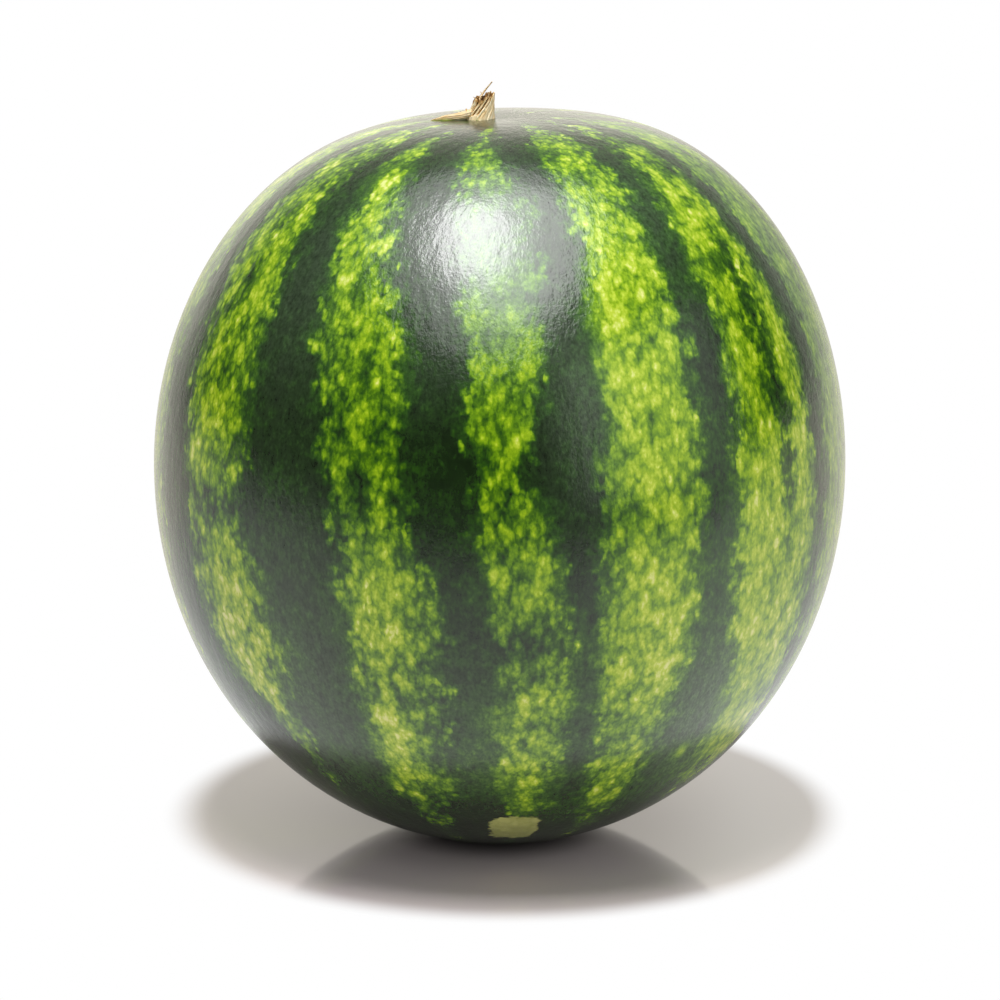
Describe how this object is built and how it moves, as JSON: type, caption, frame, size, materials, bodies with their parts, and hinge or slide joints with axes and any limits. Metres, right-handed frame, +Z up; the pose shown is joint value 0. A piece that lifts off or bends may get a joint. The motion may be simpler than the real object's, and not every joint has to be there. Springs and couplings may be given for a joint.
{
  "type": "watermelon",
  "caption": "Whole round watermelon with a striped green rind, standing on a small flat spot at its blossom end, with the dried stub of its stem on top.",
  "frame": {"origin": "centre of the flat spot that the fruit rests on, under the middle of its outline", "axes": "+Z up from the blossom end to the stem end, -Y out of the front, +X to the right of someone who faces the front"},
  "size_m": [0.2514, 0.2514, 0.2778],
  "materials": {
    "rind": "waxy and glossy, dark green stripes between mottled light green ones",
    "dry_stem": "dry, matt and fibrous"
  },
  "bodies": {
    "root": {"fruit": "rind", "stem": "dry_stem"}
  },
  "joints": []
}
